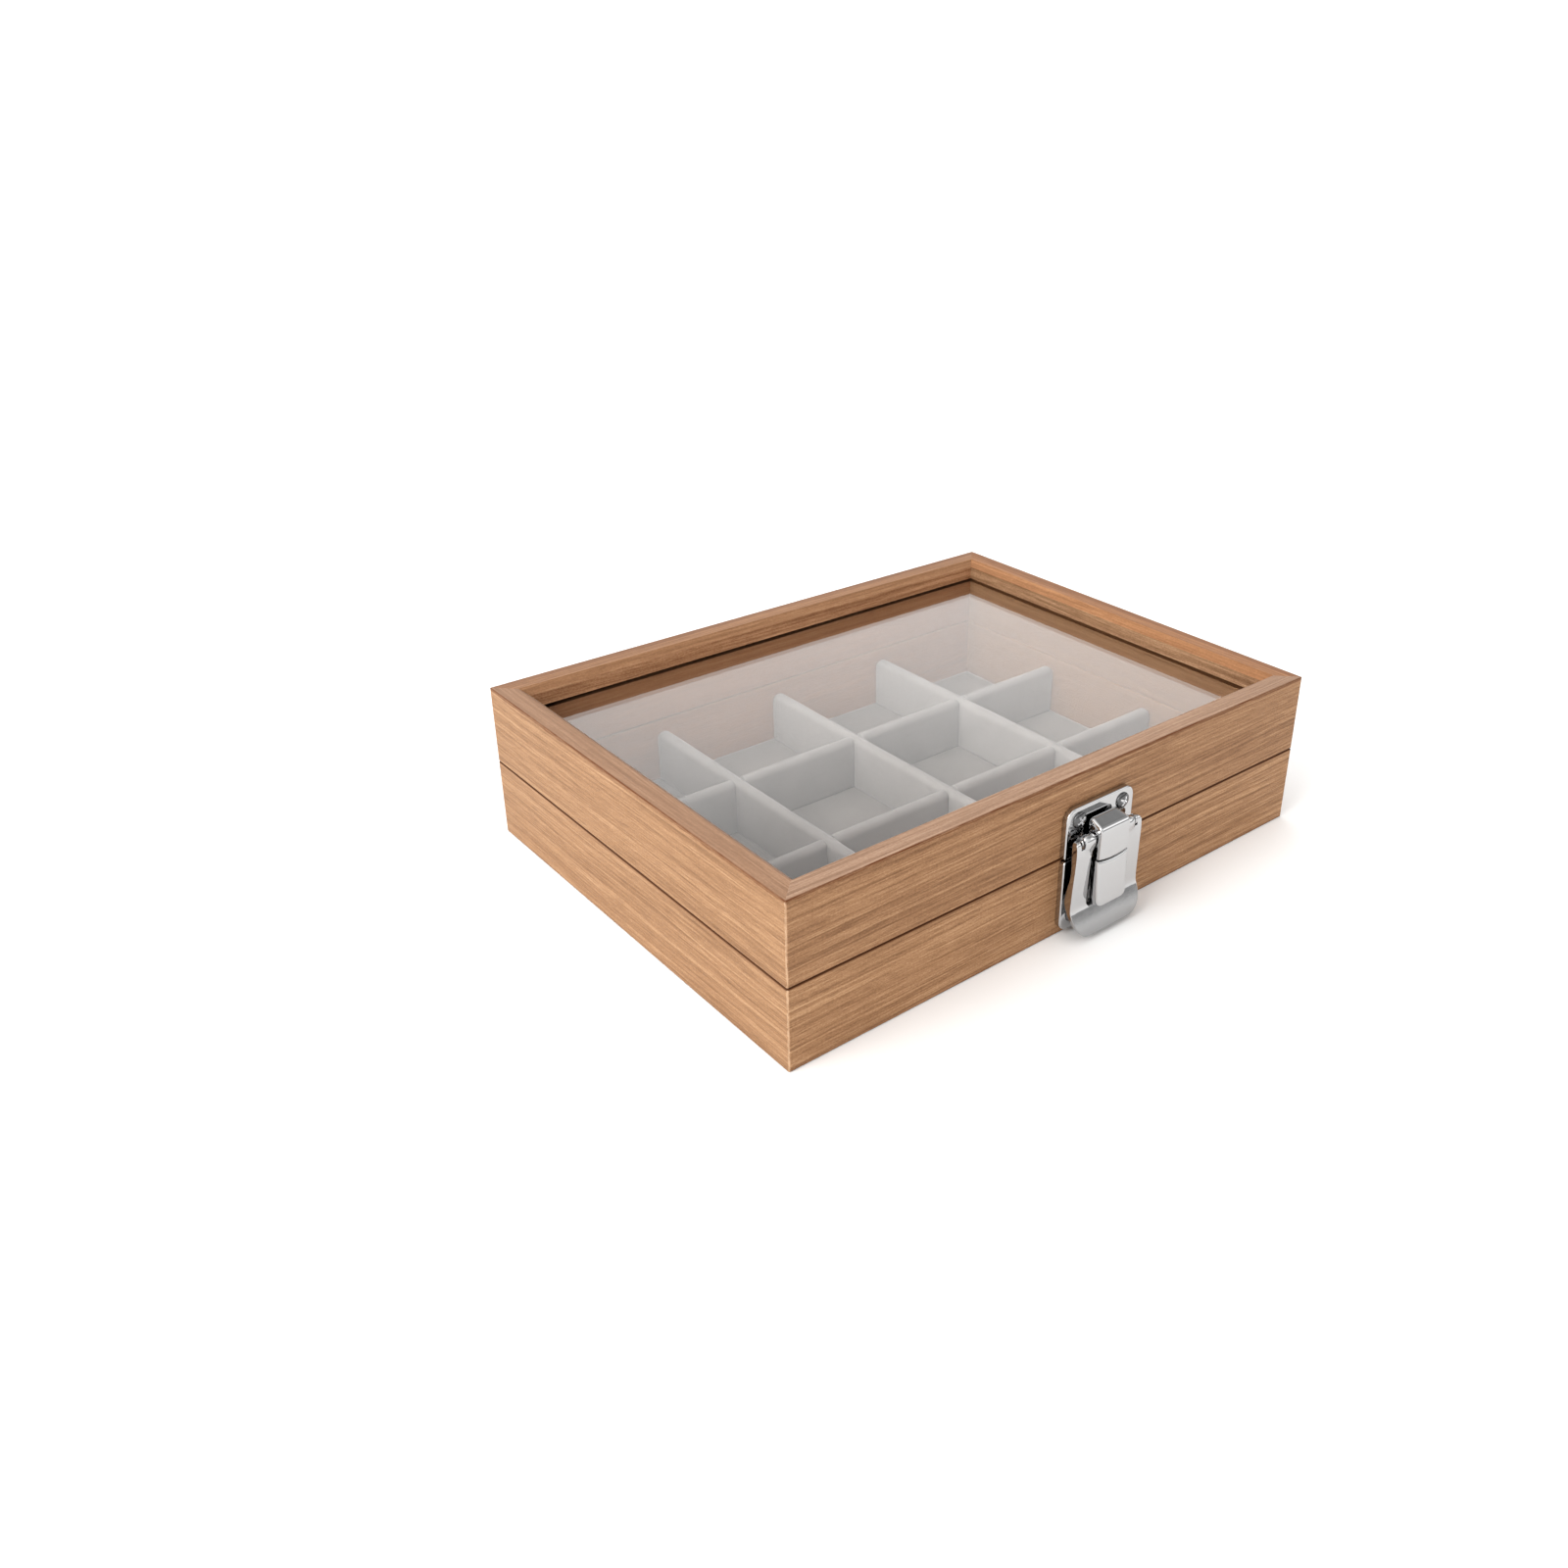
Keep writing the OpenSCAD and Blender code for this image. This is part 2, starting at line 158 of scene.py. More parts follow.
def wood(name, along, shift, tone_with_painted_light=(1.0, 1.0, 1.0), drift=0.0, top=(1.0, 1.0, 1.0), strip=0.0, inner=(1.15, 1.0, 0.95), contrast=1.0):
    """Fine straight-grained veneer. along is 0 for grain that runs in X, 1 for Y.
    top tints the rim for each rail, a painted sheen and shade; strip is the strength of its darker outer edge; inner
    tints the inner face, a redder tone with painted light and shade for each rail. The whole-rail tone is partly
    painted light for its side."""
    m, t, b = material(name)
    at = t.mapping(coords(t), scale=(1000, 1000, 1000))
    mm = t.mapping(at, loc=shift, rot=(0, drift, 0) if along == 0 else (drift, 0, 0))

    def stretched(v, a, c):
        s = [c, c, c]
        s[along] = a
        return t.mapping(v, scale=s)

    def sway(v, a, c, amount, detail=1):
        """Moves the pattern sideways, never along the grain."""
        w = t.vmath("SUBTRACT", t.noise(stretched(mm, a, c), 1, detail, 0.5, colour=True), (0.5, 0.5, 0.5))
        amp = [amount] * 3
        amp[along] = 0
        return t.vmath("ADD", v, t.vmath("MULTIPLY", w, tuple(amp)))

    p = sway(mm, 0.008, 0.045, 4.0, 2)
    p = sway(p, 0.05, 0.4, 0.45)
    tint = lambda c: tuple(x * y for x, y in zip(c, tone_with_painted_light))
    centred = lambda v, k, acc: t.math("MULTIPLY_ADD", t.math("SUBTRACT", v, 0.5), k, acc)

    broad = t.noise(stretched(p, 0.006, 0.16), 1, 1, 0.5)
    long_a = t.noise(stretched(p, 0.009, 1.05), 1, 1, 0.5)
    long_b = t.noise(stretched(p, 0.024, 1.9), 1, 1, 0.5)
    dash = t.noise(stretched(p, 0.22, 2.3), 1, 1, 0.5)
    fleck = t.noise(stretched(mm, 1.4, 2.6), 1, 2, 0.6)
    f = centred(broad, 0.22, 0.5)
    f = centred(long_a, 0.85, f)
    f = centred(long_b, 0.75, f)
    f = centred(dash, 0.50, f)
    f = centred(fleck, 0.85, f)
    f = centred(f, contrast, 0.5)
    base = t.ramp(f, [
        (0.10, tint((0.166, 0.080, 0.035))),
        (0.40, tint((0.262, 0.138, 0.066))),
        (0.60, tint((0.334, 0.184, 0.092))),
        (0.90, tint((0.453, 0.274, 0.148))),
    ])
    # thin dark lines between the growth layers, broken along their length
    dark = t.noise(stretched(p, 0.013, 1.15), 1, 1, 0.4)
    d = t.math("MULTIPLY", t.range(dark, 0.59, 0.66, smooth=True), t.range(t.noise(stretched(p, 0.06, 0.6), 1, 1), 0.40, 0.62, 0.15, 1.0))
    base = t.mix(t.math("MULTIPLY", d, 0.38), base, tint((0.160, 0.074, 0.030)))
    q = t.range(t.noise(stretched(p, 0.14, 2.6), 1, 1, 0.5), 0.63, 0.72, smooth=True)
    base = t.mix(t.math("MULTIPLY", q, 0.40), base, tint((0.150, 0.070, 0.029)))

    # the rim is veneered on its own and tinted for each rail, a painted sheen and shade; the inner faces are a little
    # redder and carry painted light on the back rail and painted shade on the right
    nrm = t.xyz(t.vmath("ABSOLUTE", coords(t, "Normal")))
    pos = t.xyz(at)
    edge_noise = t.noise(stretched(mm, 0.12, 0.5), 1, 3, 0.6)
    inward = t.math("SUBTRACT", (75.0, 100.0)[along], t.math("ABSOLUTE", pos[1 - along]))
    rim = t.range(nrm[2], 0.45, 0.62)
    base = t.mix(t.math("MULTIPLY", rim, 0.38), base, tint((0.288, 0.155, 0.076)))
    # painted sheen and shade: the rim's tint for each rail
    base = t.mix(rim, base, top, "MULTIPLY")
    if strip:
        edge = t.range(centred(edge_noise, 1.2, inward), 2.7, 3.2, 1.0, 0.0, smooth=True)
        base = t.mix(t.math("MULTIPLY", t.math("MULTIPLY", rim, edge), strip), base, (0.72, 0.66, 0.66), "MULTIPLY")
    inside = t.math("MULTIPLY", t.range(inward, 8.0, 8.4), t.math("SUBTRACT", 1.0, rim))
    base = t.mix(t.math("MULTIPLY", inside, t.range(pos[2], 41.0, 43.0, 0.60, 0.0)), base, tint((0.288, 0.155, 0.076)))
    # painted light and shade: the inner faces' tint, brighter on the back rail and darker on the right
    base = t.mix(inside, base, inner, "MULTIPLY")

    # edges: pale where two faces meet at an upright corner, a brown glue line along the top and bottom arrises
    upright = t.math("MULTIPLY", t.range(t.math("MINIMUM", nrm[0], nrm[1]), 0.25, 0.50), t.range(edge_noise, 0.35, 0.62, 0.15, 0.75))
    base = t.mix(upright, base, tint((0.56, 0.38, 0.25)))
    outside = t.range(inward, 0.7, 1.0, 1.0, 0.0)
    flat = t.math("MAXIMUM", nrm[0], nrm[1])
    arris = t.math("MULTIPLY", t.range(t.math("MINIMUM", flat, nrm[2]), 0.10, 0.32), t.range(edge_noise, 0.35, 0.60, 0.55, 1.0))
    base = t.mix(t.math("MULTIPLY", arris, outside), base, tint((0.115, 0.036, 0.010)))
    near_top = t.math("ADD", centred(edge_noise, 2.0, t.math("SUBTRACT", 50.0, pos[2])), t.range(nrm[2], 0.0, 0.3, 0.0, 9.0))
    base = t.mix(t.math("MULTIPLY", t.range(near_top, 0.50, 1.0, 0.85, 0.0), outside), base, tint((0.140, 0.048, 0.014)))
    # a dark brown band along the split between lid and tray, on the cut edges and the faces just beside them, towards
    # the outside: partly the cut edges' darker tone, partly painted shade of the gap
    seam = t.math("ABSOLUTE", t.math("SUBTRACT", pos[2], 25.0))
    rag = centred(edge_noise, 0.40, seam)
    seam_shade = t.range(inward, 1.1, 2.6, 1.0, 0.0)
    base = t.mix(t.math("MULTIPLY", t.range(rag, 0.24, 0.50, 0.97, 0.0), seam_shade), base, tint((0.070, 0.023, 0.005)))
    t.link(base, b.inputs["Base Color"])

    h = t.math("MULTIPLY_ADD", q, -0.5, centred(long_b, 0.8, t.math("MULTIPLY", fleck, 0.5)))
    t.link(t.bump(h, 0.4, 0.0002), b.inputs["Normal"])
    t.link(t.range(fleck, 0.3, 0.7, 0.46, 0.60), b.inputs["Roughness"])
    b.inputs["Specular IOR Level"].default_value = 0.16
    return m


def panel_wood():
    m, t, b = material("panel_wood")
    mm = t.mapping(coords(t), scale=(1000, 1000, 1000))
    fibre = t.noise(mm, 1.6, 4, 0.7)
    blotch = t.noise(mm, 0.05, 2, 0.5)
    f = t.math("MULTIPLY_ADD", t.math("SUBTRACT", blotch, 0.5), 0.6, fibre)
    t.link(t.ramp(f, [(0.3, (0.17, 0.105, 0.062)), (0.5, (0.235, 0.152, 0.095)), (0.7, (0.31, 0.215, 0.14))]), b.inputs["Base Color"])
    t.link(t.bump(fibre, 0.3, 0.0002), b.inputs["Normal"])
    b.inputs["Roughness"].default_value = 0.8
    return m


def velvet(name, tone_with_painted_light=(1.0, 1.0, 1.0), seed=0.0):
    m, t, b = material(name)
    mm = t.mapping(coords(t), loc=(seed, seed * 1.7, 0), rot=(0.62, 0.41, 0.87), scale=(1000, 1000, 1000))
    pile = t.noise(mm, 2.4, 3, 0.65)
    clump = t.noise(mm, 0.55, 3, 0.55, 0.6)
    cloud = t.noise(mm, 0.085, 2, 0.5, 0.8)
    f = t.math("MULTIPLY_ADD", t.math("SUBTRACT", cloud, 0.5), 0.40, 0.5)
    f = t.math("MULTIPLY_ADD", t.math("SUBTRACT", clump, 0.5), 0.22, f)
    f = t.math("MULTIPLY_ADD", t.math("SUBTRACT", pile, 0.5), 0.05, f)
    t.link(t.ramp(f, [
        (0.2, tuple(k * c for k, c in zip(tone_with_painted_light, (0.204, 0.190, 0.180)))),
        (0.5, tuple(k * c for k, c in zip(tone_with_painted_light, (0.268, 0.250, 0.239)))),
        (0.8, tuple(k * c for k, c in zip(tone_with_painted_light, (0.338, 0.317, 0.303)))),
    ]), b.inputs["Base Color"])
    t.link(t.bump(clump, 0.05, 0.0002), b.inputs["Normal"])
    b.inputs["Roughness"].default_value = 0.95
    b.inputs["Specular IOR Level"].default_value = 0.1
    b.inputs["Sheen Weight"].default_value = 0.50
    b.inputs["Sheen Roughness"].default_value = 0.35
    b.inputs["Sheen Tint"].default_value = (0.95, 0.96, 1.0, 1)
    return m


def chrome(name, colour, rough=(0.04, 0.10), wobble=0.05, lip=False):
    m, t, b = material(name)
    mm = t.mapping(coords(t), scale=(1000, 1000, 1000))
    b.inputs["Base Color"].default_value = (*colour, 1)
    b.inputs["Metallic"].default_value = 1.0
    smear = t.noise(mm, 0.35, 3, 0.6)
    dull = t.range(smear, 0.35, 0.7, *rough)
    if lip:
        # rougher towards the bottom of the lip, and darker there: the darker colour is painted shade
        lip_dull_and_shade = t.range(t.math("MULTIPLY_ADD", smear, 1.5, t.xyz(mm)[2]), 8.6, 11.2, 1.0, 0.0, smooth=True)
        dull = t.math("MULTIPLY_ADD", lip_dull_and_shade, 0.12, dull)
        t.link(t.mix(lip_dull_and_shade, colour, tuple(0.70 * c for c in colour)), b.inputs["Base Color"])
    t.link(dull, b.inputs["Roughness"])
    peel = t.noise(mm, 0.55, 1, 0.4)
    t.link(t.bump(peel, wobble, 0.0002), b.inputs["Normal"])
    return m


def glass():
    """Clear float glass. Shadow rays go straight through, so that the tray below is lit."""
    m, t, b = material("glass")
    nt = m.node_tree
    nt.nodes.remove(b)
    out = nt.nodes["Material Output"]
    g = t.new("ShaderNodeBsdfGlass")
    g.inputs["Color"].default_value = (0.985, 0.985, 0.985, 1)
    g.inputs["Roughness"].default_value = 0.0
    g.inputs["IOR"].default_value = 1.5
    clear = t.new("ShaderNodeBsdfTransparent")
    clear.inputs["Color"].default_value = (0.92, 0.92, 0.92, 1)
    path = t.new("ShaderNodeLightPath")
    mix = t.new("ShaderNodeMixShader")
    t.link(path.outputs["Is Shadow Ray"], mix.inputs[0])
    t.link(g.outputs[0], mix.inputs[1])
    t.link(clear.outputs[0], mix.inputs[2])
    t.link(mix.outputs[0], out.inputs["Surface"])
    return m


# painted sheen and shade for each rim: the front and left greyed by a painted sheen, the back and right darkened as
# painted shade
FRONT_RIM_PAINTED_LIGHT, LEFT_RIM_PAINTED_LIGHT, BACK_RIM_PAINTED_LIGHT, RIGHT_RIM_PAINTED_LIGHT = (1.00, 1.16, 1.54), (0.90, 0.92, 1.07), (0.90, 0.83, 0.82), (0.92, 0.77, 0.66)
# each rail's whole tone is partly painted light and shade for its side
WOOD = {
    "base_front_rail": wood("wood_front_lower", 0, (13, 0, 4), (1.065, 1.03, 1.0), 0.006),
    "base_back_rail": wood("wood_back_lower", 0, (441, 60, 31), (1.0, 1.0, 1.0), -0.004),
    "base_left_rail": wood("wood_left_lower", 1, (70, 230, 57), (0.985, 0.985, 0.985), 0.005, contrast=0.78),
    "base_right_rail": wood("wood_right_lower", 1, (170, 90, 93), (1.0, 1.0, 1.0), -0.006, inner=(0.78, 0.77, 0.80)),
    "lid_front_rail": wood("wood_front_upper", 0, (13, 0, 4), (0.98, 0.935, 0.905), 0.006, FRONT_RIM_PAINTED_LIGHT),
    "lid_back_rail": wood("wood_back_upper", 0, (441, 60, 31), (1.0, 1.0, 1.0), -0.004, BACK_RIM_PAINTED_LIGHT, 0.8, (1.19, 1.05, 1.03)),
    "lid_left_rail": wood("wood_left_upper", 1, (70, 230, 57), (0.985, 0.985, 0.985), 0.005, LEFT_RIM_PAINTED_LIGHT, contrast=0.78),
    "lid_right_rail": wood("wood_right_upper", 1, (170, 90, 93), (1.0, 1.0, 1.0), -0.006, RIGHT_RIM_PAINTED_LIGHT, 0.8, (0.78, 0.77, 0.80)),
}
VELVET = velvet("velvet")
# the mat is darker than the dividers: painted shade on the floor of the cells
VELVET_MAT = velvet("velvet_mat", (0.87, 0.855, 0.835), 31.0)
CHROME = chrome("clasp_chrome", (0.50, 0.50, 0.505), (0.05, 0.11))
NICKEL = chrome("hinge_nickel", (0.60, 0.59, 0.57), (0.24, 0.29), 0.015)
NICKEL_SCREW = chrome("hinge_screw_nickel", (0.33, 0.325, 0.315), (0.22, 0.27), 0.015)
# painted reflection on the screws: a near-black head for the dark it reflects, and a bright cross for its glints
SCREW_PAINTED_DARK = chrome("screw_head_painted_dark", (0.11, 0.11, 0.112), (0.10, 0.20), 0.2)
CROSS_PAINTED_GLINT = chrome("screw_cross_painted_glint", (0.72, 0.72, 0.73), (0.14, 0.26), 0.25)
CHROME_FLAP = chrome("clasp_flap_chrome", (0.50, 0.50, 0.505), (0.05, 0.11), lip=True)
GLASS = glass()
PANEL = panel_wood()


def paint(obj, mat):
    obj.data.materials.clear()
    obj.data.materials.append(mat)
    for p in obj.data.polygons:
        p.material_index = 0


for n, m in WOOD.items():
    paint(NODES[n], m)
paint(NODES["base_bottom_panel"], PANEL)
paint(NODES["glass_pane"], GLASS)
for n in NODES:
    if "hinge" in n and "clasp" not in n:
        paint(NODES[n], NICKEL_SCREW if "screws" in n else NICKEL)


# ---------------------------------------------------------------- mesh helpers

def add(name, verts, faces, mat, body, replaces=(), smooth=True, sharp=None):
    me = bpy.data.meshes.new(name)
    me.from_pydata([tuple(v) for v in verts], [], [tuple(f) for f in faces])
    bm = bmesh.new()
    bm.from_mesh(me)
    bmesh.ops.remove_doubles(bm, verts=bm.verts, dist=1e-7)
    bmesh.ops.dissolve_degenerate(bm, edges=bm.edges, dist=1e-8)
    bmesh.ops.recalc_face_normals(bm, faces=bm.faces)
    bm.to_mesh(me)
    bm.free()
    me.materials.append(mat)
    for p in me.polygons:
        p.use_smooth = smooth
    if sharp is not None:
        me.set_sharp_from_angle(angle=math.radians(sharp))
    o = bpy.data.objects.new(name, me)
    bpy.context.scene.collection.objects.link(o)
    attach(o, body)
    if replaces:
        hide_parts(*replaces)
    return o


def cut(obj, boxes):
    """Takes boxes, in mm, out of a mesh."""
    for lo, hi in boxes:
        bm = bmesh.new()
        bmesh.ops.create_cube(bm, size=1)
        for v in bm.verts:
            v.co = Vector([(lo[i] + hi[i]) / 2 * MM + v.co[i] * (hi[i] - lo[i]) * MM for i in range(3)])
        me = bpy.data.meshes.new("cutter")
        bm.to_mesh(me)
        bm.free()
        c = bpy.data.objects.new("cutter", me)
        bpy.context.scene.collection.objects.link(c)
        mod = obj.modifiers.new("cut", "BOOLEAN")
        mod.operation, mod.solver, mod.object = "DIFFERENCE", "EXACT", c
        bpy.context.view_layer.update()
        dg = bpy.context.evaluated_depsgraph_get()
        new = bpy.data.meshes.new_from_object(obj.evaluated_get(dg))
        obj.modifiers.clear()
        old = obj.data
        obj.data = new
        bpy.data.meshes.remove(old)
        bpy.data.objects.remove(c)


def arc(cx, cy, r, a0, a1, n):
    return [(cx + r * math.cos(math.radians(a0 + (a1 - a0) * i / n)),
             cy + r * math.sin(math.radians(a0 + (a1 - a0) * i / n))) for i in range(n + 1)]


def along(points, n):
    """n + 1 points at even steps along a polyline."""
    p = np.array(points, float)
    s = np.concatenate([[0], np.cumsum(np.linalg.norm(np.diff(p, axis=0), axis=1))])
    q = np.linspace(0, s[-1], n + 1)
    return np.stack([np.interp(q, s, p[:, 0]), np.interp(q, s, p[:, 1])], 1)


def smooth_curve(points):
    """A monotone cubic through (x, y) points, as a function."""
    x = np.array([p[0] for p in points], float)
    y = np.array([p[1] for p in points], float)
    h = np.diff(x)
    d = np.diff(y) / h
    m = np.zeros(len(x))
    m[0], m[-1] = d[0], d[-1]
    for i in range(1, len(x) - 1):
        if d[i - 1] * d[i] > 0:
            w1, w2 = 2 * h[i] + h[i - 1], h[i] + 2 * h[i - 1]
            m[i] = (w1 + w2) / (w1 / d[i - 1] + w2 / d[i])

    def f(v):
        v = min(max(v, x[0]), x[-1])
        i = min(int(np.searchsorted(x, v, "right")) - 1, len(h) - 1)
        u = (v - x[i]) / h[i]
        return ((2 * u ** 3 - 3 * u ** 2 + 1) * y[i] + (u ** 3 - 2 * u ** 2 + u) * h[i] * m[i]
                + (-2 * u ** 3 + 3 * u ** 2) * y[i + 1] + (u ** 3 - u ** 2) * h[i] * m[i + 1])

    return f


CLASP_X = 6.5
FRONT_Y = -75.0


def at_clasp(x, z, d):
    """clasp coordinates (right, up, out from the box) in mm to metres."""
    return ((CLASP_X + x) * MM, (FRONT_Y - d) * MM, z * MM)


def inset(ring, s):
    """A closed ring of points, counter-clockwise, drawn in by s along its own normals."""
    p = np.array(ring, float)
    if s == 0:
        return p
    a, b = p - np.roll(p, 1, 0), np.roll(p, -1, 0) - p
    na = np.stack([-a[:, 1], a[:, 0]], 1) / np.maximum(np.linalg.norm(a, axis=1), 1e-9)[:, None]
    nb = np.stack([-b[:, 1], b[:, 0]], 1) / np.maximum(np.linalg.norm(b, axis=1), 1e-9)[:, None]
    n = na + nb
    k = np.linalg.norm(n, axis=1)
    n = n / np.maximum(k, 1e-9)[:, None]
    c = np.maximum((n * na).sum(1), 0.5)
    return p + n * (s / c)[:, None]


def skin(rings, split, front, back, across=10):
    """A closed shell through rings of equal length, from the back edge to the front edge.
    Each ring is a list of (x, z, depth). Points 0 and split are the two ends where the outline turns back on
    itself, so each end cap is a grid of lines between the two sides; front(x, z) and back(x, z) shape the caps."""
    n = len(rings[0])
    verts, faces = [], []
    for r in rings:
        verts.extend(at_clasp(x, z, d) for x, z, d in r)
    for k in range(len(rings) - 1):
        r0, r1 = k * n, (k + 1) * n
        faces += [(r0 + i, r0 + (i + 1) % n, r1 + (i + 1) % n, r1 + i) for i in range(n)]
    for k, depth in ((0, back), (len(rings) - 1, front)):
        r = rings[k]
        grid = []
        for i in range(split + 1):
            j = (n - i) % n
            row = [k * n + i]
            for c in range(1, across):
                u = c / across
                x, z = r[i][0] * (1 - u) + r[j][0] * u, r[i][1] * (1 - u) + r[j][1] * u
                row.append(len(verts))
                verts.append(at_clasp(x, z, depth(x, z)))
            row.append(k * n + j)
            grid.append(row)
        for g0, g1 in zip(grid, grid[1:]):
            for c in range(across):
                f = tuple(dict.fromkeys((g0[c], g1[c], g1[c + 1], g0[c + 1])))
                if len(f) > 2:
                    faces.append(f)
    return verts, faces


def rounded(r, n=5, squash=1.0):
    """The (inset, drop) profile of a quarter round."""
    return [(r * (1 - math.cos(math.pi / 2 * i / n)), squash * r * (1 - math.sin(math.pi / 2 * i / n))) for i in range(n + 1)]


def slab(side_a, side_b, front, back, edge, back_edge, across=10, walls=3, shape=None):
    """A curved plate between two chains of points that share their ends; together they are the outline.
    edge and back_edge are the (inset, drop) profiles from the wall to each face.
    shape(s) may give the two chains for inset s itself."""
    count = len(side_a)
    assert len(side_b) == count

    def ring(s):
        if shape:
            a, b = shape(s)
            return [tuple(p) for p in a] + [tuple(p) for p in b[-2:0:-1]]
        r = [tuple(p) for p in side_a] + [tuple(p) for p in side_b[-2:0:-1]]
        area = sum(p[0] * q[1] - q[0] * p[1] for p, q in zip(r, r[1:] + r[:1]))
        return [tuple(p) for p in (inset(r[::-1], s)[::-1] if area < 0 else inset(r, s))]

    def mid(x, z):
        return (front(x, z) + back(x, z)) / 2

    rings = []
    for s, drop in back_edge[::-1]:
        rings.append([(x, z, min(back(x, z) + drop, mid(x, z))) for x, z in ring(s)])
    for i in range(1, walls):
        u = i / walls
        rings.append([(x, z, max(min(back(x, z) + back_edge[0][1], mid(x, z)) * (1 - u) + max(front(x, z) - edge[0][1], mid(x, z)) * u, -99)) for x, z in ring(0)])
    for s, drop in edge:
        rings.append([(x, z, max(front(x, z) - drop, mid(x, z))) for x, z in ring(s)])
    end_f, end_b = edge[-1][1], back_edge[-1][1]
    return skin(rings, count - 1, lambda x, z: max(front(x, z) - end_f, mid(x, z)), lambda x, z: min(back(x, z) + end_b, mid(x, z)), across)


# ---------------------------------------------------------------- clasp

def plate_sides(hw, z0, z1, rb, rt):
    """The two halves of a plate's outline, from the lower left corner round to the upper right one."""
    def line(a, b, n):
        return [(a[0] + (b[0] - a[0]) * i / n, a[1] + (b[1] - a[1]) * i / n) for i in range(1, n)]

    bl, br, tl, tr = (-hw + rb, z0 + rb), (hw - rb, z0 + rb), (-hw + rt, z1 - rt), (hw - rt, z1 - rt)
    under = arc(*bl, rb, 225, 270, 6) + line((bl[0], z0), (br[0], z0), 18) + arc(*br, rb, 270, 360, 12)
    under += line((hw, br[1]), (hw, tr[1]), 12) + arc(*tr, rt, 0, 45, 6)
    over = arc(*bl, rb, 225, 180, 6) + line((-hw, bl[1]), (-hw, tl[1]), 12) + arc(*tl, rt, 180, 90, 12)
    over += line((tl[0], z1), (tr[0], z1), 18) + arc(*tr, rt, 90, 45, 6)
    return under, over


# a cast plate: upright wall and a small round shoulder
PLATE_EDGE = rounded(0.55, 8)
for name, z0, z1, rb, rt, body in (("clasp_lid_plate", 25.3, 40.7, 1.0, 3.5, "lid"), ("clasp_base_plate", 1.7, 24.7, 3.5, 1.0, "base")):
    def plate_ring(s, z0=z0, z1=z1, rb=rb, rt=rt):
        return plate_sides(13.5 - s, z0 + s, z1 - s, max(rb - s, 0.12), max(rt - s, 0.12))

    a, b = plate_ring(0)
    v, f = slab(a, b, lambda x, z: 2.0, lambda x, z: 0.0, PLATE_EDGE, [(0.0, 0.1), (0.1, 0.0)], across=24, walls=2, shape=plate_ring)
    add(name + "_shell", v, f, CHROME, body, (name,))

# the hinge block: bottom cut to a shallow arc, top falling away to the front, sides drawn in towards the box
SMILE, SMILE_C = 24.0, 48.75


def smile(x, r):
    return SMILE_C - math.sqrt(r * r - x * x)


def block_ring(s, hw, top, corner):
    """The outline drawn in by s: along the bottom arc from left to right, then back over the top."""
    w, t = hw - s, top - s
    lo = [(x, smile(x, SMILE) + s) for x in np.linspace(-w, w, 37)]
    rc = max(corner - s, 0.1)
    taper = 0.12
    wt = w - taper
    side = [(-w + taper * u, (smile(w, SMILE) + s) * (1 - u) + (t - rc) * u) for u in np.linspace(0, 1, 7)]
    top_l = side + arc(-wt + rc, t - rc, rc, 180, 90, 8)[1:] + [(x, t) for x in np.linspace(-wt + rc, 0, 5)[1:]]
    over = top_l + [(-x, z) for x, z in top_l[-2::-1]]
    assert len(over) == len(lo), (len(over), len(lo))
    return [tuple(p) for p in lo] + [tuple(p) for p in over[-2:0:-1]]


def block_top(d):
    """The top falls away to the front, then rolls over a round nose."""
    if d < 6.9:
        return 36.75 - 0.33 * (d - 2.95)
    return 33.93 + math.sqrt(max(1.6 ** 2 - (d - 6.4) ** 2, 0))


rings = []
for s, d in ((0.40, 2.95), (0.12, 3.02), (0.0, 3.25)):
    rings.append([(x, z, d) for x, z in block_ring(s, 6.0, block_top(d), 1.6)])
for d in np.linspace(3.7, 6.9, 8):
    rings.append([(x, z, d) for x, z in block_ring(0, 6.0, block_top(d), 1.6 - 0.75 * (d - 3.25) / 3.65)])
for a in np.linspace(24, 90, 11):
    d = 6.4 + 1.6 * math.sin(math.radians(a))
    s = 0.32 * (1 - math.cos(math.radians((a - 18) * 1.25)))
    rings.append([(x, z, d) for x, z in block_ring(s, 6.0, 33.93 + 1.6 * math.cos(math.radians(a)) + s, 0.85)])
v, f = skin(rings, 36, lambda x, z: 8.0 + 0.05 * max(0, 1 - (x / 6) ** 2) * max(0, 1 - ((z - 29.3) / 4.7) ** 2), lambda x, z: 2.95, across=16)
nv = len(v)
box = [(x, z, d) for x in (-4, 4) for z in (27.7, 33.7) for d in (1.9, 3.4)]
v += [at_clasp(x, z, d) for x, z, d in box]
f += [tuple(nv + i for i in q) for q in ((0, 1, 3, 2), (4, 6, 7, 5), (0, 4, 5, 1), (2, 3, 7, 6), (0, 2, 6, 4), (1, 5, 7, 3))]
add("clasp_hinge_block_shell", v, f, CHROME, "lid", ("clasp_hinge_block",), sharp=55)

# the tongue: its top is hollowed to match the block
TR = SMILE + 0.52


def tongue_ring(s, hw=6.2, low=10.0):
    w, lo = hw - s, low + s
    high = [(x, smile(x, TR) - s) for x in np.linspace(-w, w, 49)]
    rc = max(2.2 - s, 0.3)
    wl = w - 0.15
    side = [(-w + 0.15 * u, (smile(w, TR) - s) * (1 - u) + (lo + rc) * u) for u in np.linspace(0, 1, 14)]
    low_l = side + arc(-wl + rc, lo + rc, rc, 180, 270, 7)[1:] + [(x, lo) for x in np.linspace(-wl + rc, 0, 5)[1:]]
    under = low_l + [(-x, z) for x, z in low_l[-2::-1]]
    assert len(under) == len(high), (len(under), len(high))
    return high, under


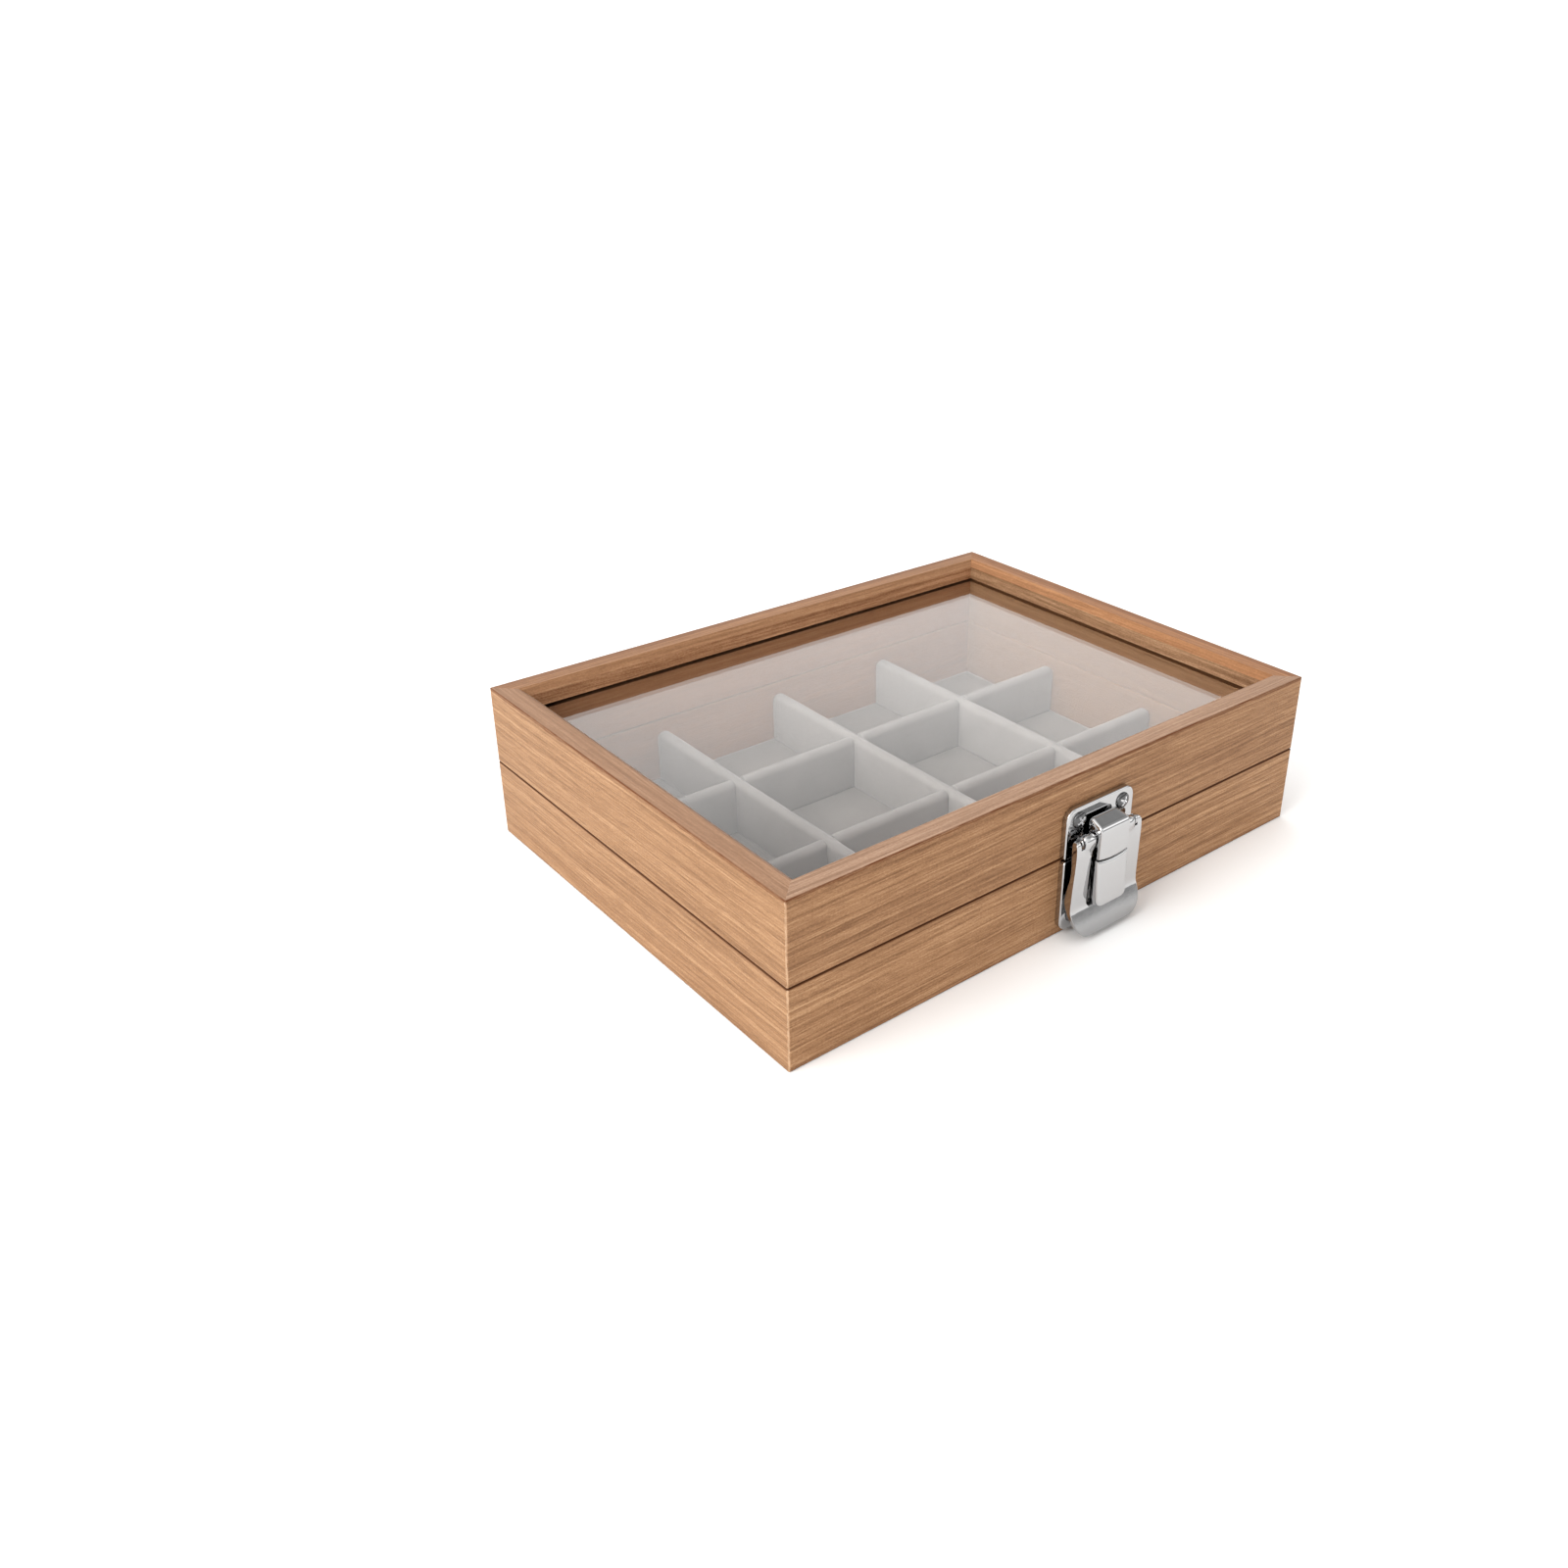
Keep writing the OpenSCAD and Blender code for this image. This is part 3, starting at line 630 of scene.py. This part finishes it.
def tongue_front(x, z):
    return 7.93 + 0.75 * (24.5 - z) / 14.5 + 0.05 * (1 - (x / 6.2) ** 2)


a, b = tongue_ring(0)
v, f = slab(a, b, tongue_front, lambda x, z: 5.4, [(0.0, 1.05), (0.02, 0.78), (0.09, 0.52), (0.20, 0.31), (0.34, 0.16), (0.52, 0.05), (0.72, 0.0)],
            rounded(0.2, 2), across=18, walls=3, shape=tongue_ring)
nv = len(v)
box = [(x, z, d) for x in (-4.5, 4.5) for z in (10.0, 14.7) for d in (3.9, 5.6)]
v += [at_clasp(x, z, d) for x, z, d in box]
f += [tuple(nv + i for i in q) for q in ((0, 1, 3, 2), (4, 6, 7, 5), (0, 4, 5, 1), (2, 3, 7, 6), (0, 2, 6, 4), (1, 5, 7, 3))]
add("clasp_tongue_shell", v, f, CHROME, "flap", ("clasp_tongue",), sharp=55)

# the flap: a U of even wall, curled round the axle at the top of each arm and flared into a lip at the bottom
AX_D, AX_Z, KR = 4.9, 31.4, 1.9
front_line = smooth_curve([(1.6, 8.45), (2.4, 8.56), (3, 8.52), (4, 8.33), (5, 8.04), (6, 7.68), (7, 7.28), (8, 6.85), (9, 6.4), (9.7, 6.07), (10.4, 5.83), (11.2, 5.72), (12, 5.7), (14, 5.73), (20, 5.93), (25, 6.12), (28, 6.2), (30.4, 6.1), (31.6, 5.8), (32.4, 5.1)])
back_line = smooth_curve([(1.6, 7.6), (3, 7.17), (5, 6.47), (7, 5.62), (9, 4.67), (10, 4.15), (11, 3.62), (12, 3.22), (13, 3.04), (14, 3.06), (16, 3.35), (18, 3.75), (20, 4.14), (22, 4.38), (25, 4.32), (28, 4.06), (32.4, 3.92)])


def step(v, a, b):
    u = min(max((v - a) / (b - a), 0), 1)
    return u * u * (3 - 2 * u)


def knuckle(x, z):
    """1 over the knuckle, 0 over the shoulder outside it; the step between them widens down the arm."""
    w = 0.15 + 0.45 * (29.8 - min(z, 29.8))
    return 1 - step(abs(x), 10.0 - w, 10.0 + w)


def barrel(x):
    """Radius of the knuckle: full beside the block, drawn in towards its outer end."""
    return KR * math.sqrt(max(1 - 0.42 * step(abs(x), 7.6, 10.3) ** 2, 0.05)) - 0.12 * (1 - step(abs(x), 6.3, 6.9))


def curl(x, z):
    """Front of the arm where it rises on to the knuckle."""
    d = front_line(z)
    return d + (AX_D + barrel(x) - d) * step(z, 28.0, AX_Z)


def flap_front(x, z):
    d = front_line(z)
    if z > 28.0 and abs(x) > 6.0:
        k = knuckle(x, z)
        d = d * (1 - k) + curl(x, z) * k
    return d


def flap_back(x, z):
    return back_line(z)


TOP = (11.9, 32.3)
SLOT = 11.45
corner = [(7.4 + 6.4 * math.cos(math.radians(a)), 9.4 + 7.6 * math.sin(math.radians(a))) for a in np.linspace(-90, 0, 29)]
outer = ([(0, 1.8), (7.4, 1.8)], corner, [(13.8, 9.4), (13.7, 11), (13.6, 12.8), (13.54, 15), (13.5, 18)],
         [(13.5, 18), (13.3, 23)], [(13.3, 23), (13.22, 28.8)], [(13.22, 28.8), (13.2, 30.9)] + arc(11.98, 31.1, 1.2, 0, 90, 12)[1:] + [TOP])
inner = ([(0, 10), (5.5, 10)], arc(5.7, 11.5, 1.5, -90, 0, 16), [(7.2, 11.5), (7.2, 18)], [(7.2, 18), (7.2, 27.2)],
         [(7.2, 27.2), (7.1, 27.8), (6.85, 28.4), (6.55, 28.9), (6.35, 29.5), (6.3, 29.8), (SLOT, 29.8)],
         [(SLOT, 29.8), (SLOT, 31.95), (11.55, 32.2), TOP])
steps = (9, 22, 12, 14, 30, 20)
oc = [np.array([outer[0][0]])] + [along(s, k)[1:] for s, k in zip(outer, steps)]
ic = [np.array([inner[0][0]])] + [along(s, k)[1:] for s, k in zip(inner, steps)]
oc, ic = [tuple(p) for p in np.concatenate(oc)], [tuple(p) for p in np.concatenate(ic)]
outer_all = [(-x, z) for x, z in oc[::-1]] + oc[1:]
inner_all = [(-x, z) for x, z in ic[::-1]] + ic[1:]
v, f = slab(outer_all, inner_all, flap_front, flap_back, rounded(0.26, 6), rounded(0.25, 3), across=44, walls=4)

# the two knuckles round the axle, each standing on its arm beside the slot
for side in (-1, 1):
    ends = rounded(0.26, 6)
    xs = [(6.3 + s, drop) for s, drop in ends[::-1]] + [(x, 0.0) for x in np.linspace(6.3, 10.1, 26)[3:-3]] + [(10.1 - s, drop) for s, drop in ends]
    base, m = len(v), 0
    for x, o in xs:
        r = barrel(x) - o
        foot = 29.3
        front = [(curl(x, z) - o + (0.004 if z > foot + 0.15 else -0.08), z) for z in np.linspace(foot, AX_Z, 14)[:-1]]
        over = [(AX_D + r * math.cos(math.radians(a)), AX_Z + r * math.sin(math.radians(a))) for a in np.linspace(0, 180, 33)]
        back = [(AX_D - r + (back_line(z) + 0.1 - AX_D + r) * step(AX_Z - z, 0, AX_Z - foot), z) for z in np.linspace(AX_Z, foot, 8)[1:]]
        loop = front + over + back
        m = len(loop)
        v += [at_clasp(side * x, z, d) for d, z in loop]
    for i in range(len(xs) - 1):
        p, q = base + i * m, base + (i + 1) * m
        f += [(p + k, p + (k + 1) % m, q + (k + 1) % m, q + k) for k in range(m)]
    f += [tuple(base + k for k in range(m)), tuple(base + (len(xs) - 1) * m + k for k in range(m))]
add("clasp_flap_shell", v, f, CHROME_FLAP, "flap", ("clasp_flap",), sharp=48)


def turned(name, profile, n, centre, mat, body, replaces=()):
    """A solid of revolution about a line along X; profile is (x, r) pairs."""
    verts, faces = [], []
    cx, cy, cz = centre
    for x, r in profile:
        for k in range(n):
            a = 2 * math.pi * k / n
            verts.append(((cx + x) * MM, (cy + r * math.cos(a)) * MM, (cz + r * math.sin(a)) * MM))
    for i in range(len(profile) - 1):
        for k in range(n):
            faces.append((i * n + k, i * n + (k + 1) % n, (i + 1) * n + (k + 1) % n, (i + 1) * n + k))
    faces.append(tuple(range(n)))
    faces.append(tuple((len(profile) - 1) * n + k for k in range(n))[::-1])
    return add(name, verts, faces, mat, body, replaces, sharp=40)


# a plain pin, with a low head in the right slot
prof = [(-10.8, 0.45), (-10.7, 0.65), (-10.55, 0.8), (10.24, 0.8), (10.26, 1.3), (10.36, 1.45), (10.6, 1.5), (11.0, 1.5), (11.2, 1.42), (11.3, 1.2)]
turned("clasp_axle_pin", prof, 32, (CLASP_X, FRONT_Y - AX_D, AX_Z), CHROME, "lid", ("clasp_axle",))


def screw_mesh(cx, cz, turn, verts, faces):
    """A domed head with a pressed cross, and its shank."""
    R, rings, n, seat = 2.45, 24, 96, 1.85
    base = len(verts)

    def depth(r, a):
        dome = seat + 0.38 + 0.75 * (1 - (min(r / R, 1)) ** 2) ** 0.6
        x, z = r * math.cos(a - turn), r * math.sin(a - turn)
        cut = 0.0
        for u, w in ((x, z), (z, x)):
            wide = 0.40 * (1 - 0.25 * abs(u) / 1.6)
            e = min((wide - abs(w)) / 0.12, (1.6 - abs(u)) / 0.25)
            cut = max(cut, min(max(e, 0), 1))
        return dome - 0.85 * cut * (1 - 0.35 * r / R)

    verts.append(at_clasp(cx, cz, depth(0, 0)))
    for i in range(1, rings + 1):
        r = R * i / rings
        for k in range(n):
            a = 2 * math.pi * k / n
            verts.append(at_clasp(cx + r * math.cos(a), cz + r * math.sin(a), depth(r * 0.999, a)))
    for k in range(n):
        faces.append((base, base + 1 + k, base + 1 + (k + 1) % n))
    for i in range(rings - 1):
        p, q = base + 1 + i * n, base + 1 + (i + 1) * n
        faces += [(p + k, q + k, q + (k + 1) % n, p + (k + 1) % n) for k in range(n)]
    # rim, underside and shank
    ring = base + 1 + (rings - 1) * n
    for r, d in ((R + 0.05, seat + 0.22), (R + 0.02, seat + 0.04), (R - 0.1, seat), (1.0, seat), (1.0, -5.5), (0.05, -7.0)):
        k0 = len(verts)
        for k in range(n):
            a = 2 * math.pi * k / n
            verts.append(at_clasp(cx + r * math.cos(a), cz + r * math.sin(a), d))
        faces += [(ring + k, k0 + k, k0 + (k + 1) % n, ring + (k + 1) % n) for k in range(n)]
        ring = k0
    faces.append(tuple(ring + k for k in range(n))[::-1])


SCREW_Z = {"clasp_lid_screws": 36.8, "clasp_base_screws": 6.5}
for name, dx, z, body in (("clasp_lid_screws", 8.7, 36.8, "lid"), ("clasp_base_screws", 8.8, 6.5, "base")):
    v, f = [], []
    screw_mesh(-dx, z, 0.5, v, f)
    screw_mesh(dx, z, 1.1, v, f)
    o = add(name + "_heads", v, f, SCREW_PAINTED_DARK, body, (name,), sharp=60)
    # the cross recess gets the bright metal: a painted highlight along it
    o.data.materials.append(CROSS_PAINTED_GLINT)
    for p in o.data.polygons:
        x, z, d = p.center[0] / MM - CLASP_X, p.center[2] / MM, FRONT_Y - p.center[1] / MM
        r = math.hypot(abs(x) - dx, z - SCREW_Z[name])
        dome = 1.85 + 0.38 + 0.75 * (1 - min(r / 2.45, 1) ** 2) ** 0.6
        if d > 2.0 and r < 2.0 and d < dome - 0.10:
            p.material_index = 1

paint(NODES["clasp_catch"], CHROME)


# ---------------------------------------------------------------- velvet

def fuzz(p, amount, wave):
    """Small push along the normal, in mm: the clumped pile and the wrap's unevenness."""
    q = Vector(p)
    return amount * noise.fractal(q * 0.22, 0.5, 2.0, 2) + wave * noise.noise(q * 0.07)


def bar(lo, hi, axis, z0, z1, half, ends, verts, faces, step=0.7):
    """A wrapped board along X (axis 0) or Y (axis 1), from lo to hi; ends = (radius of its top corner, radius of its upright edges) for each end."""
    centre = lo[1 - axis]
    u0, u1 = lo[axis], hi[axis]
    n = max(8, int((u1 - u0) / step))
    us = list(np.linspace(u0 + 1.5, u1 - 1.5, n))
    near = [0, 0.04, 0.12, 0.25, 0.45, 0.7, 1.0]
    us = [u0 + 1.5 * e for e in near] + us[1:-1] + [u1 - 1.5 * e for e in near[::-1]]
    side = list(np.linspace(0, 1, 22))
    cap = [i / 12 * math.pi for i in range(1, 12)]
    loop_n = 0
    base = len(verts)
    for u in us:
        d0, d1 = u - u0, u1 - u
        top, h = z1, half
        for d, (rt, re) in ((d0, ends[0]), (d1, ends[1])):
            if d < rt:
                top -= rt - math.sqrt(max(0, rt * rt - (rt - d) ** 2))
            if d < re:
                h -= re - math.sqrt(max(0, re * re - (re - d) ** 2))
        h = max(h, half - 0.9)
        loop = [(-h, z0 + (top - h - z0) * s, (-1, 0)) for s in side]
        loop += [(-h * math.cos(a), top - h + h * math.sin(a), (-math.cos(a), math.sin(a))) for a in cap]
        loop += [(h, z0 + (top - h - z0) * s, (1, 0)) for s in side[::-1]]
        loop_n = len(loop)
        for w, z, (nw, nz) in loop:
            p = [0, 0, z]
            p[axis] = u
            p[1 - axis] = centre + w
            k = fuzz(p, 0.03, 0.16)
            if z < z0 + 0.5 or d0 < 0.3 or d1 < 0.3:
                k = min(k, 0) * 0.3
            p[1 - axis] += nw * k
            p[2] += nz * k
            verts.append((p[0] * MM, p[1] * MM, p[2] * MM))
    for i in range(len(us) - 1):
        a, b = base + i * loop_n, base + (i + 1) * loop_n
        faces += [(a + j, a + (j + 1) % loop_n, b + (j + 1) % loop_n, b + j) for j in range(loop_n)]
    faces.append(tuple(base + j for j in range(loop_n))[::-1])
    faces.append(tuple(base + (len(us) - 1) * loop_n + j for j in range(loop_n)))


IN_X, IN_Y = 91.2, 66.2
DIV_X, DIV_Y = (-46.6, 0.0, 46.6), (-22.7333, 22.7333)
FLOOR, TOP, HALF, LAP = 4.0, 21.5, 1.98, 12.75


for name, x in zip(("divider_left", "divider_centre", "divider_right"), DIV_X):
    v, f = [], []
    bar((x, -IN_Y + 0.1), (x, IN_Y - 0.1), 1, FLOOR, TOP, HALF, ((2.2, 0.7), (2.2, 0.7)), v, f)
    o = add(name + "_wrap", v, f, VELVET, "base", (name,))
    cut(o, [((x - 3, y - 2.06, 2), (x + 3, y + 2.06, LAP - 0.1)) for y in DIV_Y])
    for p in o.data.polygons:
        p.use_smooth = True

edges_x = [-IN_X + 0.1] + [x + s for x in DIV_X for s in (-HALF - 0.03, HALF + 0.03)] + [IN_X - 0.1]
for name, y in zip(("divider_front", "divider_back"), DIV_Y):
    v, f = [], []
    for i in range(4):
        a, b = edges_x[2 * i], edges_x[2 * i + 1]
        ends = [(0.45, 0.3), (0.45, 0.3)]
        if i == 0:
            ends[0] = (2.2, 0.7)
        if i == 3:
            ends[1] = (2.2, 0.7)
        bar((a, y), (b, y), 0, FLOOR, TOP - 0.05, HALF, ends, v, f)
    for x in DIV_X:
        bar((x - 3.2, y), (x + 3.2, y), 0, FLOOR, LAP - 0.2, HALF - 0.1, ((0.3, 0.2), (0.3, 0.2)), v, f)
    add(name + "_wrap", v, f, VELVET, "base", (name,))

# the mat on the floor, a little proud between the dividers
nx, ny = 260, 190
v, f = [], []
x0, y0 = IN_X - 0.1, IN_Y - 0.1
for j in range(ny + 1):
    for i in range(nx + 1):
        x, y = -x0 + 2 * x0 * i / nx, -y0 + 2 * y0 * j / ny
        k = fuzz((x, y, 40), 0.035, 0.05)
        gap = min([abs(x - d) - 2.0 for d in DIV_X] + [abs(y - d) - 2.0 for d in DIV_Y] + [IN_X - abs(x), IN_Y - abs(y)])
        z = 3.93 + min(k, 0.06) - 0.04 * math.exp(-max(gap, 0) / 0.8)
        v.append((x * MM, y * MM, min(z, 4.0) * MM))
f = [(j * (nx + 1) + i, j * (nx + 1) + i + 1, (j + 1) * (nx + 1) + i + 1, (j + 1) * (nx + 1) + i) for j in range(ny) for i in range(nx)]
loop = list(range(nx + 1)) + [(j + 1) * (nx + 1) - 1 for j in range(1, ny + 1)] + [ny * (nx + 1) + i for i in range(nx - 1, -1, -1)] + [j * (nx + 1) for j in range(ny - 1, 0, -1)]
k = len(v)
v += [(v[i][0], v[i][1], 3.0 * MM) for i in loop]
f += [(loop[i], k + i, k + (i + 1) % len(loop), loop[(i + 1) % len(loop)]) for i in range(len(loop))]
f.append(tuple(k + i for i in range(len(loop))))
add("floor_mat_velvet", v, f, VELVET_MAT, "base", ("floor_mat",))


# ---------------------------------------------------------------- stage, light, camera

def floor():
    m, t, b = material("stage_floor")
    mm = t.mapping(coords(t), scale=(1, 1, 1))
    f = t.noise(mm, 3, 3)
    t.link(t.ramp(f, [(0.3, (0.90, 0.90, 0.90)), (0.7, (0.92, 0.92, 0.92))]), b.inputs["Base Color"])
    b.inputs["Roughness"].default_value = 0.9
    b.inputs["Specular IOR Level"].default_value = 0.1
    me = bpy.data.meshes.new("stage_floor")
    s = 6.0
    me.from_pydata([(-s, -s, -0.00005), (s, -s, -0.00005), (s, s, -0.00005), (-s, s, -0.00005)], [], [(0, 1, 2, 3)])
    me.materials.append(m)
    o = bpy.data.objects.new("stage_floor", me)
    bpy.context.scene.collection.objects.link(o)


floor()

world = bpy.data.worlds.new("studio")
bpy.context.scene.world = world
world.use_nodes = True
wt = Tree(world.node_tree)
bg = world.node_tree.nodes["Background"]
d = wt.new("ShaderNodeTexCoord").outputs["Generated"]


def toward(x, y, z, a, b, lo, hi):
    """A soft round patch about a direction: lo at a degrees from it and beyond, hi within b degrees."""
    n = math.sqrt(x * x + y * y + z * z)
    c = wt.vmath("DOT_PRODUCT", d, (x / n, y / n, z / n))
    return wt.range(c, math.cos(math.radians(a)), math.cos(math.radians(b)), lo, hi, smooth=True)


up = wt.xyz(d)[2]
lum = wt.math("MULTIPLY_ADD", toward(-0.93, 0.10, 0.35, 90, 0, 0.0, 1.0), 0.95, 0.85)
lum = wt.math("MULTIPLY_ADD", toward(0.02, -0.93, 0.30, 75, 10, 0.0, 1.0), 0.34, lum)
lum = wt.math("MULTIPLY_ADD", toward(0.45, 0.78, 0.44, 84, 0, 0.0, 1.0), 0.9, lum)
# less light above the back wall's glow
lum = wt.math("MULTIPLY", lum, toward(0.52, 0.56, 0.65, 17, 5, 1.0, 0.50))
# a darker room beyond the table at the front right, and a strip of light above it
low = wt.range(up, 0.16, 0.30, 1.0, 0.0, smooth=True)
side = toward(0.66, -0.74, 0.0, 62, 34, 0.0, 1.0)
lum = wt.math("MULTIPLY", lum, wt.math("MULTIPLY_ADD", wt.math("MULTIPLY", low, side), -0.55, 1.0))
lum = wt.math("MULTIPLY_ADD", toward(0.66, -0.56, 0.50, 17, 9, 0.0, 1.0), 1.1, lum)
# the ceiling is darker to the right
lum = wt.math("MULTIPLY", lum, toward(0.55, -0.15, 0.82, 36, 14, 1.0, 0.40))
lum = wt.math("MULTIPLY", lum, toward(0.65, 0.22, 0.72, 16, 6, 1.0, 0.55))
# a dim corner of the studio
lum = wt.math("MULTIPLY", lum, toward(-0.657, -0.547, 0.507, 20, 9, 1.0, 0.10))
wt.link(lum, bg.inputs["Strength"])
bg.inputs["Color"].default_value = (1.0, 0.995, 0.985, 1)


def area(name, at, aim, size, power, colour=(1, 1, 1)):
    l = bpy.data.lights.new(name, "AREA")
    l.shape, l.size, l.energy, l.color = "DISK", size, power, colour
    o = bpy.data.objects.new(name, l)
    o.location = at
    o.rotation_euler = (Vector(aim) - Vector(at)).to_track_quat("-Z", "Y").to_euler()
    bpy.context.scene.collection.objects.link(o)
    return o


area("key_left", (-1.3, -0.08, 0.9), (0, 0, 0.03), 1.0, 15.0, (1.0, 0.985, 0.96))

cam = bpy.data.cameras.new("camera")
cam.sensor_width = 36
cam.lens = 32.237
cam.shift_x = -0.06152
cam.shift_y = -0.03544
cam.clip_start = 0.01
cam.clip_end = 50
co = bpy.data.objects.new("camera", cam)
bpy.context.scene.collection.objects.link(co)
bpy.context.scene.camera = co


def rodrigues(r):
    r = np.array(r, float)
    a = np.linalg.norm(r)
    k = r / a
    K = np.array([[0, -k[2], k[1]], [k[2], 0, -k[0]], [-k[1], k[0], 0]])
    return np.eye(3) + math.sin(a) * K + (1 - math.cos(a)) * K @ K


R = rodrigues((1.93953552, -0.69783031, 0.4460842))
T = np.array((6.15119318, 30.54682598, 452.87200982))
C = -R.T @ T * MM
co.matrix_world = Matrix(((R[0][0], -R[1][0], -R[2][0], C[0]), (R[0][1], -R[1][1], -R[2][1], C[1]), (R[0][2], -R[1][2], -R[2][2], C[2]), (0, 0, 0, 1)))

sc = bpy.context.scene
sc.view_settings.view_transform = "Standard"
sc.view_settings.look = "None"
sc.view_settings.exposure = 0.0

bpy.context.view_layer.update()
